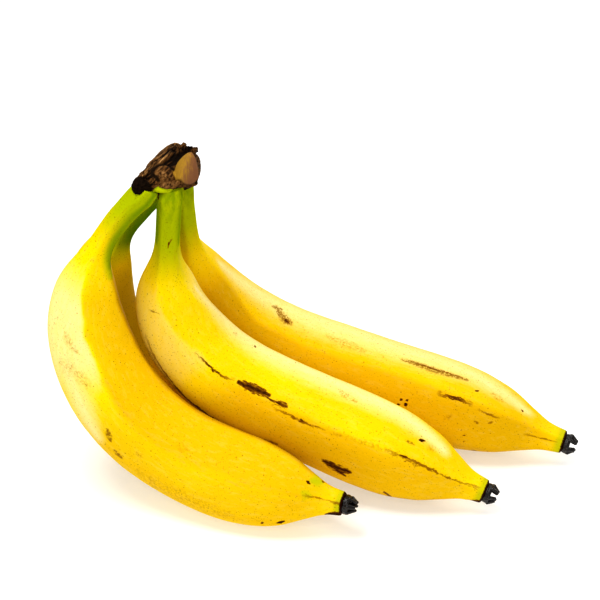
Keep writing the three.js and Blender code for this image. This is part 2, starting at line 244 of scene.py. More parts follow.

# Marks on the peel: kind, half width, strength, then a line of points, each a share of the finger's
# length and an angle from its outer curve towards the front. The pale marks are painted highlights, and a
# few others are painted shade where a finger meets the crown or another finger.
# The same dark streak runs on to the blossom end of three fingers.
TIP_STREAK = ("dark", 1.4, 1.3, [(0.978, 60), (1.0, 66), (1.02, 70)])
MARKS = {
    "front": [
        # Painted highlight: a pale cream band on the flank facing the key lamp
        ("pale", 5.5, 0.75, [(0.34, 72), (0.44, 74), (0.52, 62)]),
        ("tan", 2.2, 0.6, [(0.395, 88), (0.425, 97)]),
        ("tan", 4.0, 0.45, [(0.62, 64), (0.70, 61), (0.80, 66)]),
        ("speck", 9.0, 0.6, [(0.60, 70), (0.72, 66), (0.84, 70)]),
        ("leaf", 2.6, 0.7, [(0.00, 146), (0.08, 152), (0.13, 162), (0.18, 180)]),
        ("green", 3.0, 0.8, [(0.00, 136), (0.10, 146), (0.16, 160), (0.20, 176)]),
        ("tan", 1.4, 0.7, [(0.318, 80), (0.338, 88), (0.352, 96)]),
        ("tan", 3.6, 0.4, [(0.38, 67), (0.395, 86)]),
        ("scuff", 1.4, 1.0, [(0.522, 86), (0.542, 76)]),
        ("scuff", 1.1, 1.0, [(0.56, 68), (0.578, 66)]),
        ("tan", 1.0, 0.7, [(0.593, 94), (0.603, 90)]),
        ("tan", 2.2, 0.4, [(0.655, 134), (0.677, 132)]),
        ("dark", 0.7, 1.0, [(0.885, 54), (0.897, 56)]),
        ("dark", 0.5, 1.0, [(0.858, 56)]),
        ("dark", 0.8, 0.9, [(0.927, 162), (0.932, 160)]),
        ("dark", 0.5, 0.8, [(0.953, 190)]),
        ("green", 2.4, 0.8, [(0.935, 170), (0.95, 184)]),
        ("green", 2.0, 0.6, [(0.927, 130), (0.94, 126)]),
        ("line", 0.6, 0.7, [(0.927, 124), (0.97, 124), (1.0, 122)]),
        ("scuff", 0.9, 0.9, [(0.985, 122), (0.995, 122)]),
        ("dark", 1.4, 1.3, [(0.972, 48), (1.0, 56), (1.02, 60)]),
        ("scuff", 1.3, 0.9, [(0.44, 262), (0.47, 256)]),
        ("line", 0.7, 0.8, [(0.60, 282), (0.66, 286), (0.72, 284)]),
        ("tan", 2.4, 0.5, [(0.75, 300), (0.80, 296)]),
    ],
    "middle": [
        # Painted highlight: a pale cream band along the upper edge
        ("pale", 5.0, 0.75, [(0.24, 194), (0.36, 204), (0.60, 206), (0.80, 200), (0.90, 188)]),
        # Painted shade: a dark patch in the gap under the crown's green fold
        ("dark", 1.3, 1.3, [(-0.004, 22), (0.006, 40)]),
        ("leaf", 2.0, 0.7, [(0.00, 30), (0.12, 34)]),
        ("leaf", 2.6, 0.6, [(0.00, 182), (0.12, 188)]),
        ("line", 0.9, 1.0, [(0.355, 131), (0.39, 134), (0.427, 134), (0.448, 136), (0.48, 140)]),
        ("dark", 1.55, 0.9, [(0.49, 141), (0.525, 143), (0.565, 145)]),
        ("line", 0.8, 1.0, [(0.54, 143), (0.575, 140), (0.60, 140)]),
        ("dark", 1.15, 0.8, [(0.585, 140), (0.606, 141)]),
        ("line", 0.7, 0.9, [(0.585, 133), (0.618, 132), (0.64, 131), (0.69, 133)]),
        ("dark", 0.5, 0.9, [(0.637, 132), (0.645, 132)]),
        ("scuff", 1.2, 0.9, [(0.585, 78), (0.613, 82)]),
        ("scuff", 0.9, 0.9, [(0.655, 68)]),
        ("dark", 1.75, 0.8, [(0.704, 88), (0.728, 86), (0.757, 88)]),
        ("dark", 0.8, 0.9, [(0.733, 82), (0.752, 79)]),
        ("dark", 0.4, 0.9, [(0.830, 142), (0.850, 142)]),
        ("scuff", 0.9, 0.9, [(0.86, 138), (0.868, 138)]),
        ("line", 0.8, 0.85, [(0.80, 140), (0.86, 141), (0.895, 140), (0.92, 138), (0.985, 138)]),
        ("line", 0.6, 0.6, [(0.94, 138), (0.96, 140), (0.99, 152)]),
        ("tan", 0.7, 0.7, [(0.70, 133), (0.792, 140), (0.86, 141), (0.93, 138)]),
        ("dark", 0.6, 1.0, [(0.852, 176), (0.861, 180)]),
        ("scuff", 0.8, 0.8, [(0.83, 164), (0.85, 164)]),
        ("tan", 1.4, 0.8, [(0.878, 174)]),
        ("dark", 0.6, 0.8, [(0.828, 74), (0.843, 66)]),
        ("dark", 0.4, 0.9, [(0.478, 200), (0.485, 200)]),
        ("tan", 0.8, 0.8, [(0.408, 198), (0.422, 198)]),
        ("tan", 1.2, 0.8, [(0.682, 192), (0.70, 186), (0.718, 186)]),
        ("line", 0.6, 0.7, [(0.253, 72), (0.25, 98)]),
        # Painted shade: a tan band and a dark line along the crease where the front finger lies against this
        # one
        ("tan", 3.6, 0.8, [(0.34, 58), (0.44, 62), (0.54, 60), (0.64, 58)]),
        ("line", 1.0, 1.0, [
            (0.30, 62), (0.378, 70), (0.438, 69), (0.492, 69), (0.542, 67), (0.585, 64), (0.65, 62),
        ]),
        ("line", 0.5, 1.0, [(0.095, 136), (0.099, 126), (0.105, 118), (0.12, 114)]),
        ("scuff", 1.6, 0.9, [(0.40, 290), (0.43, 284)]),
        ("line", 0.7, 0.8, [(0.58, 268), (0.66, 270)]),
        TIP_STREAK,
    ],
    "back": [
        # Painted highlight: a pale cream band along the upper edge
        ("pale", 6.5, 0.7, [(0.24, 208), (0.50, 216), (0.80, 216), (0.92, 204)]),
        ("scuff", 2.6, 1.0, [(0.432, 199), (0.456, 191), (0.472, 189)]),
        ("scuff", 1.4, 0.9, [(0.415, 203), (0.44, 207)]),
        ("dark", 1.0, 0.75, [(0.455, 191), (0.468, 188)]),
        ("speck", 7.0, 0.8, [(0.31, 185), (0.393, 183), (0.458, 178)]),
        ("tan", 1.8, 0.7, [(0.558, 190), (0.59, 188), (0.63, 185)]),
        ("scuff", 1.7, 0.9, [(0.695, 193), (0.738, 193), (0.763, 193), (0.81, 197)]),
        ("line", 0.9, 0.9, [(0.70, 195), (0.75, 195), (0.80, 198)]),
        ("dark", 0.55, 1.2, [(0.713, 129)]),
        ("dark", 0.5, 1.2, [(0.715, 137)]),
        ("dark", 0.45, 1.2, [(0.725, 139)]),
        ("dark", 0.6, 1.2, [(0.725, 133)]),
        ("dark", 0.5, 0.9, [(0.83, 182), (0.836, 186)]),
        ("tan", 1.4, 0.8, [(0.86, 193), (0.878, 189)]),
        ("line", 1.4, 1.0, [(0.77, 160), (0.802, 161), (0.835, 161)]),
        ("line", 0.7, 0.8, [(0.845, 157), (0.885, 155)]),
        ("tan", 1.0, 0.9, [(0.797, 129), (0.805, 137)]),
        ("scuff", 0.6, 0.9, [(0.845, 139), (0.853, 137)]),
        ("scuff", 0.6, 0.8, [(0.868, 141), (0.875, 147)]),
        ("dark", 0.35, 0.9, [(0.838, 103)]),
        ("dark", 0.35, 0.9, [(0.835, 113)]),
        ("dark", 0.7, 0.9, [(0.85, 83), (0.863, 83)]),
        ("dark", 0.4, 0.9, [(0.88, 89)]),
        ("dark", 0.4, 0.9, [(0.915, 197), (0.917, 193)]),
        ("line", 0.6, 0.7, [(0.93, 139), (0.96, 139), (0.99, 143)]),
        ("scuff", 1.8, 1.0, [(0.38, 262), (0.42, 256)]),
        ("line", 0.8, 0.9, [(0.52, 284), (0.60, 286), (0.66, 282)]),
        ("dark", 1.2, 0.9, [(0.70, 300), (0.72, 302)]),
        ("tan", 2.4, 0.6, [(0.78, 272), (0.84, 268)]),
        TIP_STREAK,
    ],
    "inner": [
        ("leaf", 9.0, 1.0, [(0.00, 160), (0.15, 175)]),
        ("speck", 30.0, 1.0, [(0.20, 187), (0.35, 165), (0.54, 157)]),
        ("green", 14.0, 0.3, [(0.20, 187), (0.35, 165), (0.54, 157)]),
        ("scuff", 1.5, 0.9, [(0.45, 300), (0.48, 296)]),
        ("line", 0.7, 0.8, [(0.62, 250), (0.70, 252)]),
        ("dark", 1.0, 0.9, [(0.55, 20), (0.57, 22)]),
        TIP_STREAK,
    ],
}

# What each skin point keeps of the marks, and how far from its place a thin line can still show
MARK_KINDS = ("dark", "scuff", "tan", "green", "leaf", "pale", "speck", "line", "line_width")
LINE_REACH = 2.5


def smoothstep(value, low, high):
    """Smooth rise from 0 at low to 1 at high."""
    t = np.clip((value - low) / (high - low), 0, 1)
    return t * t * (3 - 2 * t)


def hump(value, middle, width):
    """A smooth hump of height 1."""
    return np.exp(-((value - middle) / width) ** 2)


def through(knots, places):
    """Smooth curve through a list of (place, value) knots, read at every place."""
    at, value = np.array(knots, float).T
    last = len(at) - 1
    before = np.maximum(np.arange(last + 1) - 1, 0)
    after = np.minimum(np.arange(last + 1) + 1, last)
    slope = (value[after] - value[before]) / (at[after] - at[before])
    i = np.clip(np.searchsorted(at, places, side="right") - 1, 0, last - 1)
    width = at[i + 1] - at[i]
    t = (places - at[i]) / width
    rise = t * t * (3 - 2 * t)
    ease = t * (1 - t) * width * ((1 - t) * slope[i] - t * slope[i + 1])
    return value[i] * (1 - rise) + value[i + 1] * rise + ease


def bumps(points, wavelength):
    """Smooth seeded noise between about -1 and 1 at each point."""
    return np.array([noise.noise(Vector(point)) for point in np.asarray(points) / wavelength])


def cracks(points, size):
    """Narrow cracks between seeded cells: 1 in a crack, 0 on the chips."""
    nearest = np.array([noise.voronoi(Vector(point))[0][:2] for point in np.asarray(points) / size])
    return 1 - smoothstep(nearest[:, 1] - nearest[:, 0], 0, 0.18)


def middle_line(finger, count):
    """A finger's middle line: shares, places, and directions forward, to its outer curve and its front."""
    lean, turn = np.radians([finger["lean"], finger["turn"]])
    down = np.array([0, -math.sin(lean), -math.cos(lean)])
    side = np.cross(down, (1, 0, 0))
    sweep = math.cos(turn) * np.array([1, 0, 0]) + math.sin(turn) * side
    front = np.cross(down, sweep)

    def heading(share):
        first, last = np.radians(finger["heading"])
        return (first + (last - first) * smoothstep(share, *finger["bend"]))[:, None]

    def forward(share):
        return np.cos(heading(share)) * down + np.sin(heading(share)) * sweep

    shares = np.linspace(0, 1, count + 1)
    steps = forward((shares[1:] + shares[:-1]) / 2) * finger["length"] / count
    places = np.array(finger["start"]) + np.vstack([np.zeros(3), np.cumsum(steps, axis=0)])
    outer = np.sin(heading(shares)) * down - np.cos(heading(shares)) * sweep
    return shares, places, forward(shares), outer, front


def skin_radius(finger, shares, angles):
    """Distance from the middle line to the skin; the angle is counted from a ridge."""
    sharpness = through(SHARPNESS, shares)[:, None]
    total = 0
    for flat in range(SIDES):
        facing = np.cos(np.radians(angles - (flat + 0.5) * FLAT_ANGLE))[None, :]
        total = total + np.maximum(facing, 0) ** sharpness
    girth = BODY_RADIUS * finger["girth"] * through(GIRTH, shares)
    return girth[:, None] * total ** (-1 / sharpness)


def finger_rings(name, along, around):
    """Skin points of a finger round its middle line: shares, rings, angles from its outer curve, radii."""
    finger = FINGERS[name]
    shares, places, _, outer, front = middle_line(finger, along)
    from_ridge = np.arange(around) / around * 360
    radius = skin_radius(finger, shares, from_ridge)
    first, last = finger["ridge"]
    turned = from_ridge[None, :] + (first + (last - first) * smoothstep(shares, *TWIST))[:, None]
    across = np.cos(np.radians(turned))[..., None] * outer[:, None, :]
    across = across + np.sin(np.radians(turned))[..., None] * front
    return shares, places[:, None, :] + radius[..., None] * across, turned, radius


def hand_origin():
    """The hand's place in the frame: the middle finger, less its root, is centred in its solid's box."""
    _, rings, _, _ = finger_rings("middle", SOLID_ALONG, SOLID_AROUND)
    points = rings.reshape(-1, 3)
    low, high = (np.array(corner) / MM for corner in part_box("finger_middle"))
    return (low + high) / 2 - (points.min(axis=0) + points.max(axis=0)) / 2


ORIGIN = hand_origin()


def ring_faces(rings, around):
    """Faces of a closed tube of rings, with a flat face over each end."""
    faces = []
    for ring in range(rings - 1):
        for i in range(around):
            beside = (i + 1) % around
            here = ring * around
            faces.append((here + i, here + around + i, here + around + beside, here + beside))
    faces.append(tuple(range(around)))
    faces.append(tuple(reversed(range((rings - 1) * around, rings * around))))
    return faces


def add_piece(name, mesh, node):
    """Put a finished mesh in the scene in place of the CAD node that it refines."""
    piece = bpy.data.objects.new(name, mesh)
    bpy.context.scene.collection.objects.link(piece)
    mesh.shade_smooth()
    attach(piece, "root")
    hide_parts(node)


def paint_attribute(mesh, name, values):
    """Keep one number or one vector for each point of a mesh, for its material to read."""
    values = np.asarray(values, np.float32)
    if values.ndim == 1:
        mesh.attributes.new(name, "FLOAT", "POINT").data.foreach_set("value", values)
    else:
        mesh.attributes.new(name, "FLOAT_VECTOR", "POINT").data.foreach_set("vector", values.ravel())


def mark_distance(finger, line, shares, turned):
    """Distance of every skin point from a mark's line, below 0 on one side, and how far along it that is."""
    line = np.array(line, float)
    radius = BODY_RADIUS * finger["girth"] * through(GIRTH, np.minimum(line[:, 0], 1)).mean()
    middle = line[:, 1].mean()
    flat = np.stack([line[:, 0] * finger["length"], np.radians(line[:, 1] - middle) * radius], axis=1)
    x = np.broadcast_to((shares * finger["length"])[:, None], turned.shape)
    y = np.radians((turned - middle + 180) % 360 - 180) * radius
    nearest = np.hypot(x - flat[0, 0], y - flat[0, 1])
    place = np.full(turned.shape, 0.5 if len(flat) == 1 else 0.0)
    lengths = np.hypot(*np.diff(flat, axis=0).T)
    before = 0
    for start, end, length in zip(flat[:-1], flat[1:], lengths):
        ahead = (end - start) / length
        t = np.clip((x - start[0]) * ahead[0] + (y - start[1]) * ahead[1], 0, length)
        off_x = x - start[0] - t * ahead[0]
        off_y = y - start[1] - t * ahead[1]
        distance = np.hypot(off_x, off_y)
        side = np.where(ahead[0] * off_y < ahead[1] * off_x, -1, 1)
        closer = distance <= np.abs(nearest)
        nearest = np.where(closer, side * distance, nearest)
        place = np.where(closer, (before + t) / lengths.sum(), place)
        before += length
    return nearest, place


def peel_marks(name, shares, turned):
    """Strength of each kind of mark at every skin point, and the distance from the nearest thin line."""
    finger = FINGERS[name]
    masks = {kind: np.zeros(turned.shape) for kind in MARK_KINDS}
    masks["line_off"] = np.full(turned.shape, LINE_REACH)
    for kind, half_width, strength, line in MARKS[name]:
        distance, place = mark_distance(finger, line, shares, turned)
        taper = np.sin(np.pi * place)
        if kind == "line":
            near = strength * smoothstep(LINE_REACH - np.abs(distance), 0, LINE_REACH / 2) * taper ** 0.5
            closer = np.abs(distance) < np.abs(masks["line_off"])
            masks["line_off"] = np.where(closer, distance, masks["line_off"])
            masks["line_width"] = np.where(closer, half_width, masks["line_width"])
        else:
            width = half_width * (0.5 + 0.5 * taper)
            near = strength * smoothstep(2 - np.abs(distance) / width, 0, 2)
        masks[kind] = np.maximum(masks[kind], near)
    return masks


def painted_flat_light(name, shares, from_ridge, uneven):
    """Painted highlight and shade of the flat that each skin point lies on, changing quickly over the
    ridges.
    """
    upper, lower = np.array(PAINTED_FLAT_LIGHT[name])
    lowered = smoothstep(shares, *TONE_CHANGE)[:, None]
    tones = upper * (1 - lowered) + lower * lowered
    place = from_ridge[None, :] / FLAT_ANGLE - 0.5 + TONE_WAVE * uneven
    flat = np.floor(place).astype(int)
    over = smoothstep(place - flat, *TONE_EDGE)
    ring = np.arange(len(shares))[:, None]
    tone = tones[ring, flat % SIDES] * (1 - over) + tones[ring, (flat + 1) % SIDES] * over
    fade = smoothstep(shares, *TONE_START) * (1 - (1 - TIP_TONE) * smoothstep(shares, *TONE_FALL))
    return fade[:, None] * tone


def make_finger(name, number, material):
    """One banana: its fine skin, kept from going below the table, with its marks, painted highlights and
    shade.
    """
    finger = FINGERS[name]
    shares, rings, turned, radius = finger_rings(name, ALONG, AROUND)
    _, places, forward, _, _ = middle_line(finger, ALONG)
    from_ridge = np.arange(AROUND) / AROUND * 360
    off_ridge = np.abs((from_ridge + FLAT_ANGLE / 2) % FLAT_ANGLE - FLAT_ANGLE / 2)
    along = np.broadcast_to(shares[:, None], radius.shape)
    skin = np.stack([
        along * finger["length"] + PATTERN_STEP * number,
        radius * np.cos(np.radians(turned)),
        radius * np.sin(np.radians(turned)),
    ], axis=2)
    slow = bumps(skin.reshape(-1, 3), SLOW_LENGTH).reshape(radius.shape)
    quick = bumps(skin.reshape(-1, 3), QUICK_LENGTH).reshape(radius.shape)

    masks = peel_marks(name, shares, turned)
    tone = painted_flat_light(name, shares, from_ridge, slow + 0.6 * quick)
    masks["ridge"] = hump(np.radians(off_ridge)[None, :] * radius, 0, CREST_WIDTH)
    masks["along"] = along
    masks["ripe"] = along + RIPENESS[name]
    # Painted light on the flats: cream painted highlight below 0, gold painted shade up to 1, ochre painted
    # shade above 1
    masks["pale"] = np.maximum(masks["pale"], -tone)
    masks["deep"] = np.clip(tone, 0, 1)
    masks["ochre"] = np.clip(tone - 1, 0, 1)

    middle = rings.mean(axis=1, keepdims=True)
    outward = (rings - middle) / np.linalg.norm(rings - middle, axis=2, keepdims=True)
    lift = SLOW_HEIGHT * slow + QUICK_HEIGHT * quick + CREST_HEIGHT * masks["ridge"]
    lift = lift * np.minimum(radius / BODY_RADIUS, 1)
    lift = lift - BRUISE_DEPTH * masks["dark"] - SCUFF_DEPTH * masks["scuff"]
    to_end = (1 - shares) * finger["length"] / RIM_ROUNDING
    lift = lift - RIM_ROUNDING * (1 - np.sqrt(1 - np.clip(1 - to_end, 0, 1) ** 2))[:, None]
    rings = rings + lift[..., None] * outward

    depth = np.linspace(1, 0, ROOT_RINGS, endpoint=False)[:, None, None] * finger["root"]
    taper = 1 - ROOT_TAPER * depth / finger["root"]
    roots = places[0] + (rings[:1] - places[0]) * taper - depth * forward[0]
    points = np.vstack([roots, rings]) + ORIGIN
    points[..., 2] = np.maximum(points[..., 2], 0)

    mesh = bpy.data.meshes.new(f"finger_{name}_skin")
    mesh.from_pydata((points.reshape(-1, 3) * MM).tolist(), [], ring_faces(len(points), AROUND))
    root_skin = skin[:1] - depth * np.array([1, 0, 0])
    paint_attribute(mesh, "skin", np.vstack([root_skin, skin]).reshape(-1, 3))
    for kind, mask in masks.items():
        full = np.concatenate([np.repeat(mask[:1], ROOT_RINGS, axis=0), mask])
        paint_attribute(mesh, kind, full.ravel())
    mesh.materials.append(material)
    add_piece(f"finger_{name}_skin", mesh, f"finger_{name}")


class Paint:
    """Short ways to add and join the nodes of one material."""

    def __init__(self, name):
        self.material = bpy.data.materials.new(name)
        self.material.use_nodes = True
        self.tree = self.material.node_tree
        self.shader = self.tree.nodes["Principled BSDF"]

    def node(self, kind, **settings):
        """A new node with its settings."""
        node = self.tree.nodes.new(kind)
        for key, value in settings.items():
            setattr(node, key, value)
        return node

    def feed(self, socket, value):
        """Join a node to a socket, or set the socket to a plain value."""
        if isinstance(value, bpy.types.NodeSocket):
            self.tree.links.new(value, socket)
        elif isinstance(value, tuple) and len(value) == 3 and socket.type == "RGBA":
            socket.default_value = (*value, 1)
        else:
            socket.default_value = value

    def shade(self, name, value):
        """Set one of the shader's own values."""
        self.feed(self.shader.inputs[name], value)

    def number(self, name):
        """A number that the mesh keeps at each of its points."""
        return self.node("ShaderNodeAttribute", attribute_name=name).outputs["Fac"]

    def vector(self, name, stretch=(1, 1, 1)):
        """A vector that the mesh keeps at each point; a low stretch draws a pattern out along that axis."""
        source = self.node("ShaderNodeAttribute", attribute_name=name).outputs["Vector"]
        scale = self.node("ShaderNodeVectorMath", operation="MULTIPLY")
        self.feed(scale.inputs[0], source)
        self.feed(scale.inputs[1], stretch)
        return scale.outputs[0]

    def noise(self, vector, scale, detail=3.0, roughness=0.55):
        node = self.node("ShaderNodeTexNoise")
        self.feed(node.inputs["Vector"], vector)
        self.feed(node.inputs["Scale"], scale)
        self.feed(node.inputs["Detail"], detail)
        self.feed(node.inputs["Roughness"], roughness)
        return node.outputs["Fac"]

    def cells(self, vector, scale):
        """Distance from the middle of each cell, and a number drawn for the cell."""
        node = self.node("ShaderNodeTexVoronoi")
        self.feed(node.inputs["Vector"], vector)
        self.feed(node.inputs["Scale"], scale)
        drawn = self.node("ShaderNodeSeparateColor")
        self.feed(drawn.inputs[0], node.outputs["Color"])
        return node.outputs["Distance"], drawn.outputs[0]

    def math(self, operation, a, b=0.0, clamp=False):
        node = self.node("ShaderNodeMath", operation=operation, use_clamp=clamp)
        self.feed(node.inputs[0], a)
        self.feed(node.inputs[1], b)
        return node.outputs[0]

    def swing(self, pattern, height):
        """A pattern from 0 to 1 as a swing of a given height about 0."""
        return self.math("MULTIPLY", self.math("SUBTRACT", pattern, 0.5), height)

    def rise(self, value, low, high, top=1.0):
        """Smooth rise from 0 at low to top at high."""
        node = self.node("ShaderNodeMapRange", interpolation_type="SMOOTHSTEP")
        self.feed(node.inputs["Value"], value)
        self.feed(node.inputs["From Min"], low)
        self.feed(node.inputs["From Max"], high)
        self.feed(node.inputs["To Max"], top)
        return node.outputs["Result"]

    def mix(self, factor, a, b):
        """Two colours mixed; the Mix node's colour sockets have the same names as its others."""
        node = self.node("ShaderNodeMix", data_type="RGBA")
        self.feed(node.inputs[0], factor)
        self.feed(node.inputs[6], a)
        self.feed(node.inputs[7], b)
        return node.outputs[2]

    def bump(self, height, strength, distance):
        """Fine relief that is too small for the mesh."""
        node = self.node("ShaderNodeBump")
        self.feed(node.inputs["Strength"], strength)
        self.feed(node.inputs["Distance"], distance)
        self.feed(node.inputs["Height"], height)
        self.shade("Normal", node.outputs["Normal"])


def flats_colour(paint, broad, fine, grit):
    """Yellow skin with painted highlights and painted shade on its flats, mottled."""
    # Gold and ochre painted shade, then cream painted highlight, each with a little random tone
    deep = paint.math("ADD", paint.number("deep"), paint.swing(broad, 1.0), clamp=True)
    colour = paint.mix(deep, YELLOW, GOLD_SHADE_AND_TONE)
    colour = paint.mix(paint.number("ochre"), colour, SHADE_OCHRE)
    pale = paint.math("ADD", paint.number("pale"), paint.swing(fine, 0.5), clamp=True)
    colour = paint.mix(pale, colour, CREAM_HIGHLIGHT_AND_TONE)
    return paint.mix(paint.rise(grit, 0.50, 0.78, 0.42), colour, MOTTLE)


def unripe(paint, colour, broad, fine):
    """The green of the neck, of a band round the tip and of a few patches."""
    ripening = paint.math("ADD", paint.number("ripe"), paint.swing(broad, 0.10))
    lime_neck = paint.math("SUBTRACT", 1.0, paint.rise(ripening, 0.10, 0.23))
    lime_tip = paint.rise(paint.number("along"), 0.978, 0.992, 0.7)
    lime = paint.math("MAXIMUM", paint.math("MAXIMUM", lime_neck, lime_tip), paint.number("green"))
    colour = paint.mix(lime, colour, LIME)
    green_neck = paint.math("SUBTRACT", 0.7, paint.rise(ripening, -0.04, 0.13, 0.7))
    leaf = paint.math("MULTIPLY", green_neck, paint.rise(fine, 0.3, 0.7))
    return paint.mix(paint.math("MAXIMUM", leaf, paint.number("leaf")), colour, LEAF_GREEN)


def stained(paint, colour, skin, fine, grit):
    """Tan stains, worn ridges, specks in three sizes and scuffs; one tan band is painted shade along a
    crease between two fingers.
    """
    ridge = paint.math("MULTIPLY", paint.number("ridge"), paint.rise(fine, 0.5, 0.75, 0.3))
    stain = paint.math("MULTIPLY", paint.number("tan"), paint.rise(grit, 0.40, 0.64))
    colour = paint.mix(paint.math("MAXIMUM", ridge, stain), colour, TAN)
    drifts = paint.rise(paint.noise(skin, 0.12), 0.42, 0.72, 0.34)
    fewest = paint.rise(paint.math("ADD", paint.number("speck"), drifts), 0.0, 1.2, -0.9)
    for scale, largest, strength in SPECK_SIZES:
        spot, drawn = paint.cells(skin, scale)
        size = paint.rise(drawn, fewest, 1.0, largest)
        dotted = paint.rise(paint.math("SUBTRACT", size, spot), -0.04, 0.10, strength)
        colour = paint.mix(dotted, colour, SPECK)
    scuffed = paint.math("MULTIPLY", paint.number("scuff"), paint.rise(grit, 0.30, 0.58))
    return paint.mix(paint.rise(scuffed, 0.08, 0.85, 0.9), colour, SCUFF)


def bruised(paint, colour, skin, torn):
    """Thin wandering lines, ragged bruises, and the dark rim round the blossom end; one line is a painted
    shadow along a crease between two fingers, and one dark patch is painted shade under the crown.
    """
    wander = paint.swing(paint.noise(skin, 0.35), 1.4)
    off_line = paint.math("ABSOLUTE", paint.math("ADD", paint.number("line_off"), wander))
    half_line = paint.math("MULTIPLY", paint.number("line_width"), paint.rise(torn, 0.32, 0.72))
    on_line = paint.rise(paint.math("SUBTRACT", half_line, off_line), -0.22, 0.12)
    on_line = paint.math("MULTIPLY", on_line, paint.number("line"))
    colour = paint.mix(on_line, colour, BRUISE_EDGE)
    colour = paint.mix(paint.rise(on_line, 0.85, 1.0, 0.5), colour, BRUISE)

    edge = paint.swing(torn, 4.0)
    dark = paint.number("dark")
    ragged = paint.math("MULTIPLY", edge, paint.math("SUBTRACT", 1.15, dark))
    reach = paint.math("MULTIPLY", paint.math("ADD", dark, ragged), paint.rise(dark, 0.0, 0.3))
    colour = paint.mix(paint.rise(reach, 0.2, 0.6), colour, BRUISE_EDGE)
    colour = paint.mix(paint.rise(reach, 0.5, 1.0), colour, BRUISE)

    to_rim = paint.math("ADD", paint.number("along"), paint.math("MULTIPLY", edge, 0.0012))
    return paint.mix(paint.rise(to_rim, 0.9945, 0.9975), colour, BRUISE)


def peel_material():
    """Ripe peel, green at the neck and round the tip, with stains, specks and bruises, painted highlights
    and painted shade. The gloss fades out on the necks."""
    paint = Paint("peel")
    skin = paint.vector("skin")
    long_skin = paint.vector("skin", (0.3, 1, 1))
    broad = paint.noise(long_skin, 0.06)
    fine = paint.noise(long_skin, 0.55, 5.0, 0.65)
    torn = paint.noise(paint.vector("skin", (0.25, 1, 1)), 1.3, 5.0, 0.7)
    grit = paint.noise(skin, 0.9, 5.0, 0.75)
    grain = paint.noise(skin, 2.2, 4.0, 0.6)
    colour = flats_colour(paint, broad, fine, grit)
    colour = unripe(paint, colour, broad, fine)
    colour = stained(paint, colour, skin, fine, grit)
    paint.shade("Base Color", bruised(paint, colour, skin, torn))
    paint.shade("Roughness", paint.math("ADD", 0.40, paint.math("MULTIPLY", grain, 0.16)))
    paint.shade("Specular IOR Level", paint.rise(paint.number("along"), 0.12, 0.30, 0.08))
    paint.shade("Specular Tint", GLOSS_TINT)
    paint.bump(grain, 0.10, 0.0004)
    return paint.material


def tube(rings):
    """A closed tube as points and faces."""
    rings = np.asarray(rings)
    return rings.reshape(-1, 3), ring_faces(len(rings), rings.shape[1])


def ball(middle, size, around=28, rings=16):
    """An ellipsoid as points and faces."""
    turn = np.radians(np.arange(around) / around * 360)
    rise = np.radians(np.linspace(-88, 88, rings))
    unit = np.stack([
        np.cos(rise)[:, None] * np.cos(turn),
        np.cos(rise)[:, None] * -np.sin(turn),
        np.broadcast_to(np.sin(rise)[:, None], (rings, around)),
    ], axis=2)
    return tube(unit * np.array(size) + np.array(middle))


def remeshed(name, lumps, voxel):
    """One skin round several overlapping lumps, as a new mesh in metres."""
    points, faces, base = [], [], 0
    for lump_points, lump_faces in lumps:
        points.extend((lump_points * MM).tolist())
        faces.extend(tuple(base + i for i in face) for face in lump_faces)
        base += len(lump_points)
    rough = bpy.data.meshes.new(name)
    rough.from_pydata(points, [], faces)
    holder = bpy.data.objects.new(name, rough)
    bpy.context.scene.collection.objects.link(holder)
    remesh = holder.modifiers.new("skin", "REMESH")
    remesh.mode = "VOXEL"
    remesh.voxel_size = voxel * MM
    fused = bpy.data.meshes.new_from_object(holder.evaluated_get(bpy.context.evaluated_depsgraph_get()))
    bpy.data.objects.remove(holder)
    return fused


def read_mesh(mesh):
    """Points and their outward directions, in millimetres."""
    points = np.empty(len(mesh.vertices) * 3)
    normals = np.empty(len(mesh.vertices) * 3)
    mesh.vertices.foreach_get("co", points)
    mesh.vertices.foreach_get("normal", normals)
    return points.reshape(-1, 3) / MM, normals.reshape(-1, 3)


def move_points(mesh, points):
    """Put every point of a mesh in a new place, given in millimetres."""
    mesh.vertices.foreach_set("co", (points * MM).ravel())
    mesh.update()


def pad_section(y):
    """The pad's section at each place along Y: its middle's X and Z, half width and half height."""
    stations = np.array(PAD)
    y = np.clip(y, stations[0, 0], stations[-1, 0])
    return [through(stations[:, [0, column]], y) for column in (1, 2, 3, 4)]


def pad_swell(angle):
    """Size of the pad's section at each angle, less where the split runs along its top."""
    return 1 - GROOVE_DEPTH * hump(angle, GROOVE_ANGLE, GROOVE_WIDTH)


def crown_pad():
    """The woody pad as a tube of sections along Y."""
    y = np.linspace(PAD[0][0], PAD[-1][0], PAD_RINGS)
    middle_x, middle_z, half_width, half_height = (column[:, None] for column in pad_section(y))
    angle = np.arange(PAD_AROUND) / PAD_AROUND * 360
    x = middle_x + half_width * pad_swell(angle) * np.cos(np.radians(angle))
    z = middle_z + half_height * pad_swell(angle) * np.sin(np.radians(angle))
    return tube(np.stack([x, np.broadcast_to(y[:, None], x.shape), z], axis=2))


def pad_place(points):
    """Angle of each point round the pad's middle line, from +X towards +Z, and its height over the pad."""
    middle_x, middle_z, half_width, half_height = pad_section(points[:, 1])
    across = (points[:, 0] - middle_x) / half_width
    up = (points[:, 2] - middle_z) / half_height
    angle = np.degrees(np.arctan2(up, across))
    return angle, (np.hypot(across, up) - pad_swell(angle)) * np.sqrt(half_width * half_height)


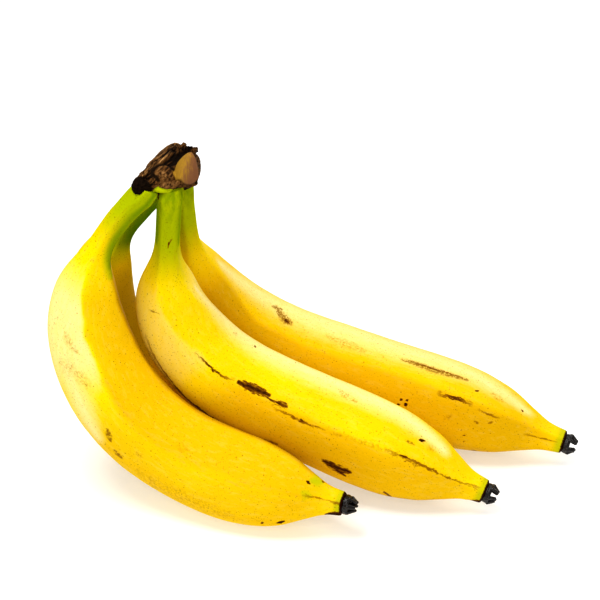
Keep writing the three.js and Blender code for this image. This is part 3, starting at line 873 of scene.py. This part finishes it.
def crown_scale():
    """The dry scale: a pointed bud shape turned about its own axis, with creases down its sides."""
    out, up = np.array(SCALE_PROFILE).T
    heights = np.linspace(-0.99, 0.99, SCALE_RINGS)
    width = through(np.stack([up, out], axis=1), heights)
    turn = np.radians(np.arange(SCALE_AROUND) / SCALE_AROUND * 360)
    corners = np.abs(np.cos(turn)) ** SCALE_CREASE + np.abs(np.sin(turn)) ** SCALE_CREASE
    creased = corners ** (-1 / SCALE_CREASE)
    unit = np.stack([
        width[:, None] * creased * np.cos(turn),
        width[:, None] * creased * -np.sin(turn),
        np.broadcast_to(heights[:, None], (SCALE_RINGS, SCALE_AROUND)),
    ], axis=2) * np.array(SCALE_SIZE)
    tilt = math.radians(SCALE_TILT)
    x = unit[..., 0] * math.cos(tilt) + unit[..., 2] * math.sin(tilt)
    z = unit[..., 2] * math.cos(tilt) - unit[..., 0] * math.sin(tilt)
    return tube(np.stack([x, unit[..., 1], z], axis=2) + np.array(SCALE_MIDDLE))


def scale_place(points):
    """Points seen from the dry scale: its own axes, with its size taken as 1."""
    tilt = math.radians(SCALE_TILT)
    x, y, z = (points - np.array(SCALE_MIDDLE)).T
    across = x * math.cos(tilt) - z * math.sin(tilt)
    up = x * math.sin(tilt) + z * math.cos(tilt)
    return np.stack([across, y, up], axis=1) / np.array(SCALE_SIZE)


def ball_height(points, middle, size):
    """Rough height of each point over the skin of an ellipsoid."""
    reach = np.linalg.norm((points - np.array(middle)) / np.array(size), axis=1)
    return (reach - 1) * min(size)


def crown_features(points):
    """How far each point of the crown belongs to each of its features, from 0 to about 1."""
    x, y, z = points.T
    angle, over_pad = pad_place(points)
    over_scale = np.linalg.norm(scale_place(points) * (1, 1, 0.9), axis=1) - 1
    over_knuckle = np.minimum(ball_height(points, *KNUCKLE), ball_height(points, *LIP))
    scale = smoothstep(-over_scale, -0.16, -0.04) * smoothstep(x, *SCALE_SIDE)
    fold = smoothstep(-ball_height(points, *FOLD), -0.5, -0.1)
    knuckle = smoothstep(-over_knuckle, -0.9, -0.1)
    # The lip gets darker towards its bottom
    lip = smoothstep(-ball_height(points, *LIP), -0.4, 0) * smoothstep(LIP_TOP - z, 0, 1.2)
    collar = 1 - smoothstep(y + 0.6 * bumps(points, 3), *COLLAR_EDGE)
    bare = (1 - collar) * (1 - knuckle)
    wander = bumps(points * (0, 1, 0) + 9, 6)
    crest = hump(angle + 7 * wander, CREST_ANGLE, 3.8) * smoothstep(CREST_END - y, 0, 4)
    band = smoothstep(angle + 7 * wander, *BAND_EDGE) * (1 - smoothstep(angle, *BAND_END))
    groove = hump(angle + 5 * wander, BURNT_ANGLE, 8 + 6 * smoothstep(y, -6, 8))
    beside = hump(angle + 7 * wander, BESIDE_ANGLE, 4) * smoothstep(BESIDE_END - y, 0, 4)
    seam = 0.8 * smoothstep(z, *SEAM_SIDE) * hump(over_pad, 0, 0.6) * hump(over_knuckle, 0, 0.6)
    return dict(
        scale=scale, fold=fold, knuckle=knuckle, lip=lip, collar=collar,
        crest=crest * bare, band=band * bare, groove=groove * bare, beside=beside * bare,
        seam=seam + 3 * scale * (1 - scale),
        # Painted shade in the gap under the green fold
        crevice=fold * smoothstep(FOLD[0][2] - 0.6 - z, 0, 0.6),
        # Darker towards the bottom of the pad
        underside=smoothstep(-angle, *UNDERSIDE),
    )


def make_crown(material):
    """The dry crown: one fused skin, cracked and fibrous, with a smooth scale, crumbs and a green fold."""
    lumps = [crown_pad(), crown_scale()]
    lumps += [ball(*lump) for lump in (FOLD, KNUCKLE, LIP, INNER_KNUCKLE)]
    lumps += [ball((x, y, z), (radius, radius, radius)) for x, y, z, radius in CRUMBS]
    mesh = remeshed("crown_wood", lumps, CROWN_VOXEL)
    points, normals = read_mesh(mesh)
    on = crown_features(points)
    fibres = bumps(points * (1, 0.1, 1), 0.9) + 0.5 * bumps(points * (1, 0.14, 1) + 40, 0.5)
    split = cracks(points * (1, 0.09, 1), 1.5) * (1 - on["knuckle"])
    streaks = bumps(points * (1, 1, 0.12), 1.1)

    rough = FIBRE_RELIEF * fibres + SPLIT_RELIEF * split
    rough = rough + LUMP_RELIEF * bumps(points + 80, 5.0) + GRIT_RELIEF * bumps(points + 60, 0.9)
    rough = rough + CREST_RELIEF * on["crest"] + GROOVE_RELIEF * on["groove"]
    rough = rough + BESIDE_RELIEF * on["beside"] + SEAM_RELIEF * on["seam"]
    lift = rough * (1 - np.maximum(on["scale"], on["fold"])) + STREAK_RELIEF * streaks * on["scale"]
    move_points(mesh, points + lift[:, None] * normals + ORIGIN)

    tan = on["crest"] + 0.45 * on["band"] + 0.35 * on["knuckle"]
    # Black wood, darker towards the bottom of the lip and the pad, and painted shade in the gap under the
    # fold
    blackened_and_shaded = on["groove"] + 0.5 * on["lip"] + 0.8 * on["beside"] + on["collar"] + on["seam"]
    blackened_and_shaded = blackened_and_shaded + on["crevice"] + on["underside"]
    paint_attribute(mesh, "wood", points)
    paint_attribute(mesh, "scale", on["scale"])
    paint_attribute(mesh, "fold", on["fold"] * (1 - on["crevice"]))
    paint_attribute(mesh, "side", scale_place(points) @ (1, 0.4, 0))
    paint_attribute(mesh, "tan", np.clip(tan, 0, 1))
    paint_attribute(mesh, "blackened_and_shaded", np.clip(blackened_and_shaded, 0, 1))
    paint_attribute(mesh, "height", 0.5 * fibres - 0.6 * split)
    mesh.materials.append(material)
    add_piece("crown_wood", mesh, "crown")


def crown_material():
    """Dry fibrous wood, black in its groove and at its front end and darker towards its bottom, with painted
    shade under the green fold and a smooth streaked scale.
    """
    paint = Paint("crown")
    strands = paint.noise(paint.vector("wood", (1, 0.09, 1)), 2.6, 5.0, 0.65)
    streaks = paint.noise(paint.vector("wood", (1, 1, 0.12)), 1.2, 4.0, 0.6)
    patches = paint.noise(paint.vector("wood", (1, 0.4, 1)), 0.7, 5.0, 0.65)
    raised = paint.math("ADD", paint.number("height"), paint.swing(strands, 2.6))
    colour = paint.mix(paint.rise(raised, -0.65, 0.3), CROWN_DARK, CROWN_BROWN)
    tan = paint.rise(paint.math("ADD", paint.number("tan"), paint.swing(patches, 1.7)), 0.1, 1.1)
    tan = paint.math("MULTIPLY", tan, paint.rise(raised, -0.4, 0.7))
    colour = paint.mix(tan, colour, CROWN_TAN)
    # Black wood, darker bottom, and painted shade under the green fold
    blackened_and_shaded = paint.math("ADD", paint.number("blackened_and_shaded"), paint.swing(strands, 1.0))
    colour = paint.mix(paint.rise(blackened_and_shaded, 0.25, 0.75, 0.95), colour, CROWN_DARK)
    across = paint.math("ADD", paint.number("side"), paint.swing(streaks, 2.0))
    scale_colour = paint.mix(paint.rise(across, -0.7, 0.5), SCALE_GOLD, SCALE_BROWN)
    colour = paint.mix(paint.number("scale"), colour, scale_colour)
    colour = paint.mix(paint.number("fold"), colour, LIME)
    paint.shade("Base Color", colour)
    paint.shade("Roughness", 0.6)
    paint.shade("Specular IOR Level", 0.06)
    paint.bump(strands, 0.5, 0.0005)
    return paint.material


def blossom_cup(radius):
    """The cup of a blossom end, which reaches a little way into the tip."""
    turn = np.radians(np.arange(CUP_AROUND) / CUP_AROUND * 360)
    return tube([
        np.stack([out * np.cos(turn), -out * np.sin(turn), np.full(CUP_AROUND, up)], axis=1) * radius
        for out, up in BLOSSOM_PROFILE
    ])


def make_blossom_end(name, number, material):
    """The black remains of the flower: a shallow cup with curled lobes on its rim."""
    finger = FINGERS[name]
    _, places, forward, outer, front = middle_line(finger, ALONG)
    radius = BLOSSOM_RADIUS * finger["girth"]
    lumps = [blossom_cup(radius)]
    draw = np.random.default_rng(11 + number)
    for i in range(BLOSSOM_LOBES):
        angle = math.radians(360 / BLOSSOM_LOBES * (i + draw.uniform(-0.2, 0.2)))
        size = LOBE_SIZE * draw.uniform(0.8, 1.15)
        for bead in range(LOBE_BEADS):
            lean = 0.82 - 0.1 * bead
            lift = 0.45 + 0.17 * bead
            place = np.array([lean * math.cos(angle), lean * math.sin(angle), lift]) * radius
            lumps.append(ball(place, np.array(BEAD_SHAPE) * size * (1 - 0.08 * bead), 14, 9))
    mesh = remeshed(f"blossom_end_{name}_black", lumps, BLOSSOM_VOXEL)
    points, normals = read_mesh(mesh)
    points = points + (0.16 * bumps(points, 0.9) + 0.1 * bumps(points, 2.1))[:, None] * normals
    paint_attribute(mesh, "char", points)
    tip = places[-1] + JOINT_GAP * forward[-1] + ORIGIN
    move_points(mesh, tip + points @ np.stack([outer[-1], front, forward[-1]]))
    mesh.materials.append(material)
    add_piece(f"blossom_end_{name}_black", mesh, f"blossom_end_{name}")


def blossom_material():
    """Dried, shiny black remains with brown patches."""
    paint = Paint("blossom_end")
    speckle = paint.noise(paint.vector("char"), 0.8, 4.0, 0.6)
    paint.shade("Base Color", paint.mix(paint.rise(speckle, 0.55, 0.75, 0.7), CHAR_BLACK, CHAR_BROWN))
    paint.shade("Roughness", 0.32)
    paint.bump(speckle, 0.3, 0.0003)
    return paint.material


def view_axes():
    """The camera's own right, up and back, for its azimuth and elevation."""
    azimuth, elevation = math.radians(VIEW_AZIMUTH), math.radians(VIEW_ELEVATION)
    right = Vector((math.cos(azimuth), math.sin(azimuth), 0))
    level = Vector((math.sin(azimuth), -math.cos(azimuth), 0))
    back = math.cos(elevation) * level + Vector((0, 0, math.sin(elevation)))
    return right, back.cross(right), back


RIGHT, UP, BACK = view_axes()
TARGET = Vector(ORIGIN) + VIEW_ACROSS * RIGHT - VIEW_DOWN * UP


def make_camera():
    """A long lens at the photographer's place."""
    data = bpy.data.cameras.new("camera")
    data.sensor_width = SENSOR
    data.lens = SENSOR * VIEW_DISTANCE / VIEW_WIDTH
    camera = bpy.data.objects.new("camera", data)
    axes = Matrix((RIGHT, UP, BACK)).transposed()
    camera.matrix_world = Matrix.Translation((TARGET + VIEW_DISTANCE * BACK) * MM) @ axes.to_4x4()
    bpy.context.scene.collection.objects.link(camera)
    bpy.context.scene.camera = camera


def make_lamp(name, place, size, power):
    """A soft square lamp that faces the hand."""
    data = bpy.data.lights.new(name, "AREA")
    data.size = size * MM
    data.energy = power
    lamp = bpy.data.objects.new(name, data)
    lamp.location = place * MM
    lamp.rotation_euler = (TARGET - place).to_track_quat("-Z", "Y").to_euler()
    bpy.context.scene.collection.objects.link(lamp)


def make_floor():
    """A plain pale floor."""
    half = FLOOR_HALF * MM
    mesh = bpy.data.meshes.new("floor")
    corners = [(-half, -half, 0), (half, -half, 0), (half, half, 0), (-half, half, 0)]
    mesh.from_pydata(corners, [], [(0, 1, 2, 3)])
    paint = Paint("floor")
    paint.shade("Base Color", (FLOOR_GREY, FLOOR_GREY, FLOOR_GREY))
    paint.shade("Roughness", 0.9)
    paint.shade("Emission Color", WHITE)
    paint.shade("Emission Strength", FLOOR_GLOW)
    mesh.materials.append(paint.material)
    floor = bpy.data.objects.new("floor", mesh)
    bpy.context.scene.collection.objects.link(floor)


def make_studio():
    """The floor, white surroundings and soft lamps."""
    make_floor()
    world = bpy.data.worlds.new("studio")
    world.use_nodes = True
    background = world.node_tree.nodes["Background"]
    background.inputs["Color"].default_value = (*WHITE, 1)
    background.inputs["Strength"].default_value = SURROUNDINGS
    bpy.context.scene.world = world
    for name, ((right, up, back), size, power) in LAMPS.items():
        make_lamp(name, TARGET + right * RIGHT + up * UP + back * BACK, size, power)
    bpy.context.scene.view_settings.view_transform = "Standard"
    bpy.context.scene.view_settings.look = "High Contrast"


make_camera()
make_studio()
PEEL = peel_material()
CHAR = blossom_material()
for number, name in enumerate(FINGERS):
    make_finger(name, number, PEEL)
    make_blossom_end(name, number, CHAR)
make_crown(crown_material())
